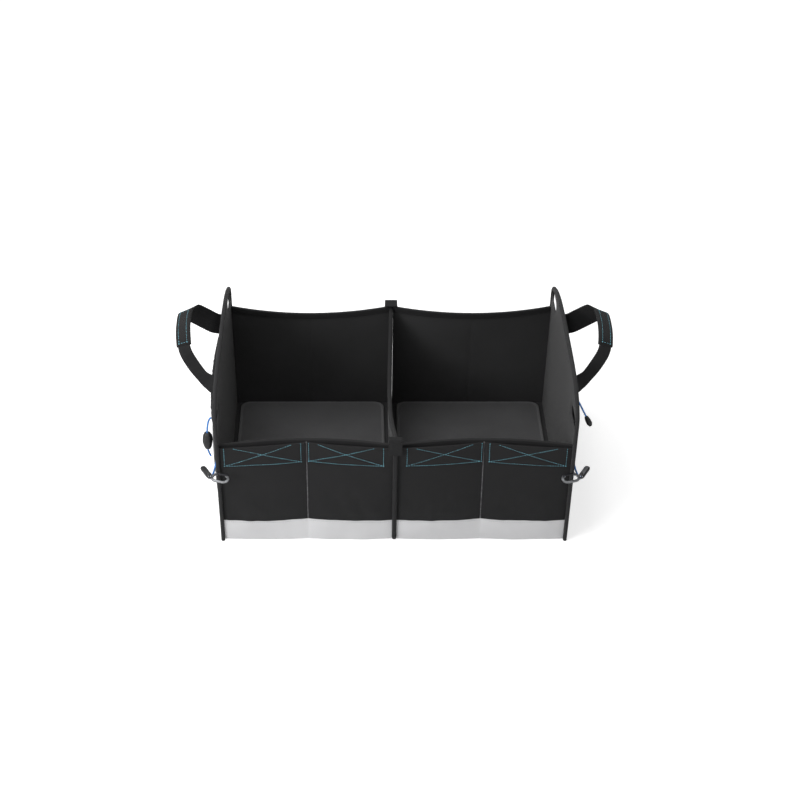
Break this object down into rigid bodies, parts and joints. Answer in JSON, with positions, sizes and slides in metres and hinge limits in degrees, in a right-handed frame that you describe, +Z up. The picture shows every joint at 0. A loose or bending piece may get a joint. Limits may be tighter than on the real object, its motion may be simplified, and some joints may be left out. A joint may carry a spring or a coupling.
{
  "type": "car storage box",
  "caption": "Open folding fabric car storage box with a centre divider, front and side pockets, webbing handles and corner hooks.",
  "frame": {"origin": "centre of the flat underside", "axes": "+X to the right seen from the front, +Y towards the back, +Z up"},
  "size_m": [0.8336, 0.5127, 0.3504],
  "materials": {
    "shell_fabric": "black woven cloth, matt",
    "lining_fabric": "black woven lining, matt",
    "floor_fabric": "charcoal woven cloth over a board",
    "binding_tape": "dark grey woven binding tape",
    "webbing": "black ribbed webbing",
    "pale_strip": "light grey smooth coated cloth",
    "pocket_cloth": "black stretch cloth",
    "cord_blue": "blue braided cord",
    "cord_end_plastic": "black moulded plastic",
    "hook_metal": "bright satin aluminium",
    "gate_metal": "black"
  },
  "bodies": {
    "root": {"back_centre_tab": "webbing", "back_left_inner_wall": "lining_fabric", "back_left_outer_wall": "lining_fabric", "back_left_rim_binding": "binding_tape", "back_right_inner_wall": "lining_fabric", "back_right_outer_wall": "lining_fabric", "back_right_rim_binding": "binding_tape", "bottom_panel": "shell_fabric", "centre_divider": "lining_fabric", "divider_binding": "binding_tape", "front_centre_tab": "webbing", "front_left_inner_wall": "lining_fabric", "front_left_outer_wall": "lining_fabric", "front_left_rim_binding": "binding_tape", "front_pocket_left_inner": "shell_fabric", "front_pocket_left_outer": "shell_fabric", "front_pocket_right_inner": "shell_fabric", "front_pocket_right_outer": "shell_fabric", "front_right_inner_wall": "lining_fabric", "front_right_outer_wall": "lining_fabric", "front_right_rim_binding": "binding_tape", "left_cord_lock": "cord_end_plastic", "left_crease_piping": "binding_tape", "left_draw_cord": "cord_blue", "left_floor_board": "floor_fabric", "left_handle_grip": "webbing", "left_handle_strap": "webbing", "left_lanyard": "cord_blue", "left_lanyard_tab": "webbing", "left_pale_strip": "pale_strip", "left_panel_binding": "binding_tape", "left_pocket_hem": "binding_tape", "left_side_panel": "shell_fabric", "left_side_pocket": "pocket_cloth", "right_cord_end": "cord_end_plastic", "right_crease_piping": "binding_tape", "right_draw_cord": "cord_blue", "right_floor_board": "floor_fabric", "right_handle_grip": "webbing", "right_handle_strap": "webbing", "right_lanyard": "cord_blue", "right_lanyard_tab": "webbing", "right_pale_strip": "pale_strip", "right_panel_binding": "binding_tape", "right_pocket_hem": "binding_tape", "right_side_panel": "shell_fabric", "right_side_pocket": "pocket_cloth", "stitched_band_left_inner": "shell_fabric", "stitched_band_left_outer": "shell_fabric", "stitched_band_right_inner": "shell_fabric", "stitched_band_right_outer": "shell_fabric"},
    "hook_left": {"left_hook_frame": "hook_metal", "left_gate_pin": "hook_metal"},
    "gate_left": {"left_hook_gate": "gate_metal"},
    "hook_right": {"right_hook_frame": "hook_metal", "right_gate_pin": "hook_metal"},
    "gate_right": {"right_hook_gate": "gate_metal"}
  },
  "joints": [
    {"name": "hook_left_swivel", "type": "hinge", "parent": "root", "child": "hook_left", "pos_m": [-0.34283, -0.253, 0.1625], "axis": [0, 0, 1], "range_deg": [-40, 0]},
    {"name": "gate_left_open", "type": "hinge", "parent": "hook_left", "child": "gate_left", "pos_m": [-0.33015, -0.24766, 0.16325], "axis": [0, -0.1392, 0.9903], "range_deg": [-24, 0], "stiffness_Nm_per_rad": 0.02, "springref_deg": 8.59},
    {"name": "hook_right_swivel", "type": "hinge", "parent": "root", "child": "hook_right", "pos_m": [0.34283, -0.253, 0.1625], "axis": [0, 0, 1], "range_deg": [0, 40]},
    {"name": "gate_right_open", "type": "hinge", "parent": "hook_right", "child": "gate_right", "pos_m": [0.33015, -0.24766, 0.16325], "axis": [0, -0.1392, 0.9903], "range_deg": [0, 24], "stiffness_Nm_per_rad": 0.02, "springref_deg": -8.59}
  ]
}
